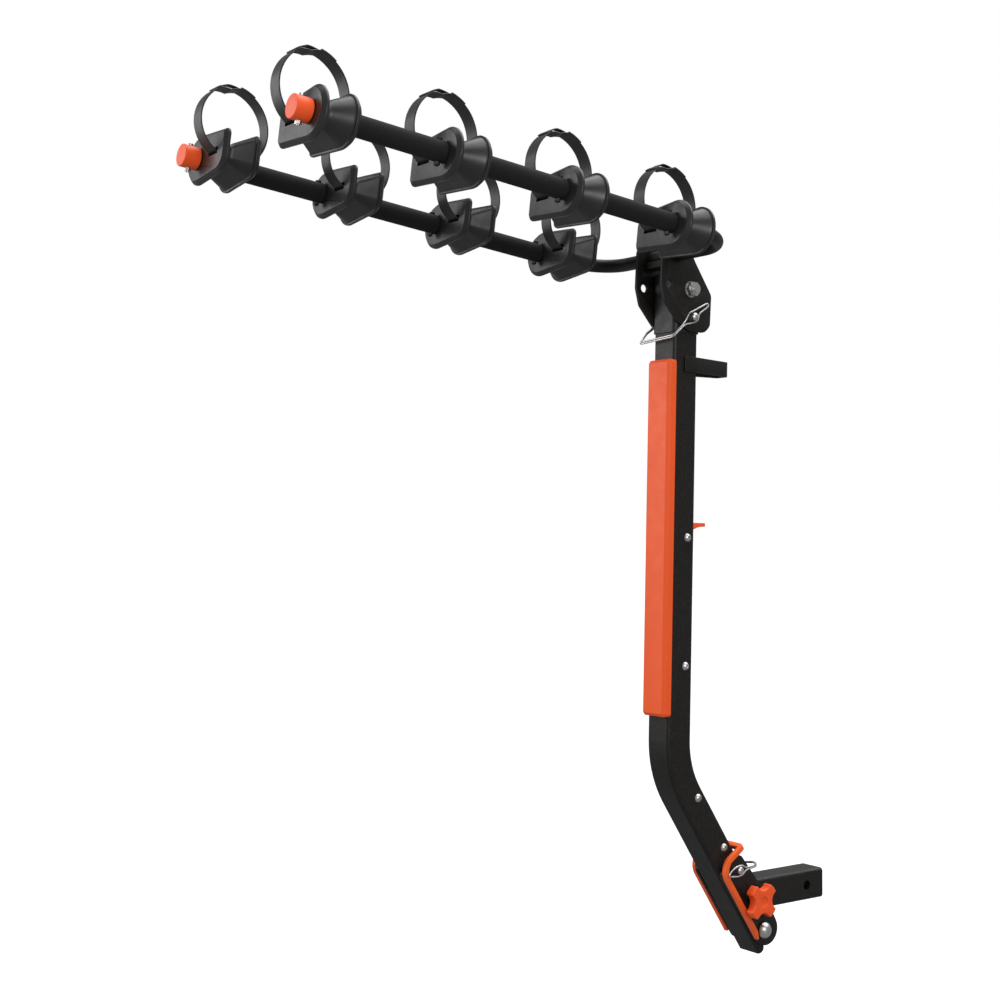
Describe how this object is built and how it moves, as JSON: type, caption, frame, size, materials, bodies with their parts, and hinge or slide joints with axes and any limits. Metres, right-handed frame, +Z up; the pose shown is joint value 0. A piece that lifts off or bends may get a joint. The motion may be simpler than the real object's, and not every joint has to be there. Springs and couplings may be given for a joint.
{
  "type": "hitch mounted bike rack",
  "caption": "Hitch mounted hanging bike rack: square shank, tilting bent mast, folding U-shaped arms with swivelling strap cradles, lock pins, release trigger and clamp knob.",
  "frame": {"origin": "centre of the hitch pin hole, on the shank's axis", "axes": "+Y along the shank towards the vehicle, +Z up, +X to the rack's right side, along the hitch pin"},
  "size_m": [0.406, 1.1129, 1.344],
  "materials": {
    "steel_black": "satin powder coat",
    "steel_orange": "satin powder coat",
    "zinc": "zinc plated",
    "plastic_black": "satin moulded",
    "plastic_orange": "satin moulded",
    "rubber_dark": "satin",
    "strap_dark": "matte",
    "foam_orange": "satin skin",
    "sleeve_black": "matte",
    "bronze": "sintered"
  },
  "bodies": {
    "hitch_base": {"shank_tube": "steel_black", "shank_end_plug": "plastic_black", "side_plate_left": "steel_black", "side_plate_right": "steel_black", "striker_bail": "steel_orange", "tilt_pivot_bolt": "zinc", "tilt_pivot_nut": "zinc", "tilt_pivot_washers": "steel_black", "knob_weld_nut": "steel_black"},
    "tilt_pin": {"tilt_lock_pin": "zinc", "tilt_lock_wire": "zinc"},
    "knob": {"clamp_knob": "plastic_orange", "knob_stud": "zinc"},
    "mast": {"mast_tube": "steel_black", "head_sleeve": "plastic_black", "bumper_pad": "foam_orange", "tie_down_loop": "steel_black", "tilt_pivot_bush": "bronze", "fold_pivot_bush": "bronze", "linkage_screws": "zinc", "linkage_nuts": "zinc", "release_cable": "zinc", "cable_guides": "plastic_black", "trigger_spring": "zinc", "latch_spring": "zinc"},
    "trigger": {"trigger_lever": "plastic_orange"},
    "latch": {"latch_pawl": "steel_black"},
    "arms": {"head_plate_left": "steel_black", "head_plate_right": "steel_black", "head_web": "steel_black", "arm_u_tube": "steel_black", "fold_pivot_bolt": "zinc", "fold_pivot_nut": "zinc", "fold_pivot_washers": "zinc", "arm_sleeves_left": "sleeve_black", "arm_sleeves_right": "sleeve_black", "end_cap_left": "plastic_orange", "end_cap_right": "plastic_orange", "arm_bolts": "zinc", "arm_nuts": "zinc"},
    "fold_pin": {"fold_lock_pin": "zinc", "fold_lock_wire": "zinc"},
    "cradle_left_1": {"cradle_left_1": "rubber_dark", "strap_left_1": "strap_dark"},
    "cradle_left_2": {"cradle_left_2": "rubber_dark", "strap_left_2": "strap_dark"},
    "cradle_left_3": {"cradle_left_3": "rubber_dark", "strap_left_3": "strap_dark"},
    "cradle_left_4": {"cradle_left_4": "rubber_dark", "strap_left_4": "strap_dark"},
    "cradle_right_1": {"cradle_right_1": "rubber_dark", "strap_right_1": "strap_dark"},
    "cradle_right_2": {"cradle_right_2": "rubber_dark", "strap_right_2": "strap_dark"},
    "cradle_right_3": {"cradle_right_3": "rubber_dark", "strap_right_3": "strap_dark"},
    "cradle_right_4": {"cradle_right_4": "rubber_dark", "strap_right_4": "strap_dark"}
  },
  "joints": [
    {"name": "mast_tilt", "type": "hinge", "parent": "hitch_base", "child": "mast", "pos_m": [0, -0.1098, -0.059], "axis": [1, 0, 0], "range_deg": [0, 60]},
    {"name": "tilt_pin_pull", "type": "slide", "parent": "hitch_base", "child": "tilt_pin", "axis": [-1, 0, 0], "range_m": [0, 0.098], "deforming": ["tilt_lock_wire"]},
    {"name": "knob_turn", "type": "hinge", "parent": "hitch_base", "child": "knob", "pos_m": [0.045, -0.13522, -0.00391], "axis": [1, 0, 0], "continuous": true},
    {"name": "arm_fold", "type": "hinge", "parent": "mast", "child": "arms", "pos_m": [0, -0.27322, 0.99939], "axis": [1, 0, 0], "range_deg": [0, 95.6]},
    {"name": "fold_pin_pull", "type": "slide", "parent": "arms", "child": "fold_pin", "axis": [-1, 0, 0], "range_m": [0, 0.102], "deforming": ["fold_lock_wire"]},
    {"name": "trigger_pull", "type": "hinge", "parent": "mast", "child": "trigger", "pos_m": [0, -0.27304, 0.59726], "axis": [1, 0, 0], "range_deg": [0, 18], "stiffness_Nm_per_rad": 0.5, "springref_deg": -17.19, "deforming": ["release_cable", "trigger_spring"]},
    {"name": "latch_release", "type": "hinge", "parent": "mast", "child": "latch", "pos_m": [0, -0.19368, 0.08691], "axis": [1, 0, 0], "range_deg": [0, 18], "stiffness_Nm_per_rad": 0.5, "springref_deg": -17.19, "deforming": ["release_cable", "latch_spring"]},
    {"name": "cradle_left_1_swivel", "type": "hinge", "parent": "arms", "child": "cradle_left_1", "pos_m": [-0.166, -1.01737, 1.14214], "axis": [0, -0.9925, 0.1219], "range_deg": [-45, 45]},
    {"name": "cradle_left_2_swivel", "type": "hinge", "parent": "arms", "child": "cradle_left_2", "pos_m": [-0.166, -0.81191, 1.11692], "axis": [0, -0.9925, 0.1219], "range_deg": [-45, 45]},
    {"name": "cradle_left_3_swivel", "type": "hinge", "parent": "arms", "child": "cradle_left_3", "pos_m": [-0.166, -0.60645, 1.09169], "axis": [0, -0.9925, 0.1219], "range_deg": [-45, 45]},
    {"name": "cradle_left_4_swivel", "type": "hinge", "parent": "arms", "child": "cradle_left_4", "pos_m": [-0.166, -0.401, 1.06646], "axis": [0, -0.9925, 0.1219], "range_deg": [-45, 45]},
    {"name": "cradle_right_1_swivel", "type": "hinge", "parent": "arms", "child": "cradle_right_1", "pos_m": [0.166, -1.01737, 1.14214], "axis": [0, -0.9925, 0.1219], "range_deg": [-45, 45]},
    {"name": "cradle_right_2_swivel", "type": "hinge", "parent": "arms", "child": "cradle_right_2", "pos_m": [0.166, -0.81191, 1.11692], "axis": [0, -0.9925, 0.1219], "range_deg": [-45, 45]},
    {"name": "cradle_right_3_swivel", "type": "hinge", "parent": "arms", "child": "cradle_right_3", "pos_m": [0.166, -0.60645, 1.09169], "axis": [0, -0.9925, 0.1219], "range_deg": [-45, 45]},
    {"name": "cradle_right_4_swivel", "type": "hinge", "parent": "arms", "child": "cradle_right_4", "pos_m": [0.166, -0.401, 1.06646], "axis": [0, -0.9925, 0.1219], "range_deg": [-45, 45]}
  ],
  "couplings": [
    {"joint": "latch_release", "follows": "trigger_pull", "ratio": 1}
  ]
}
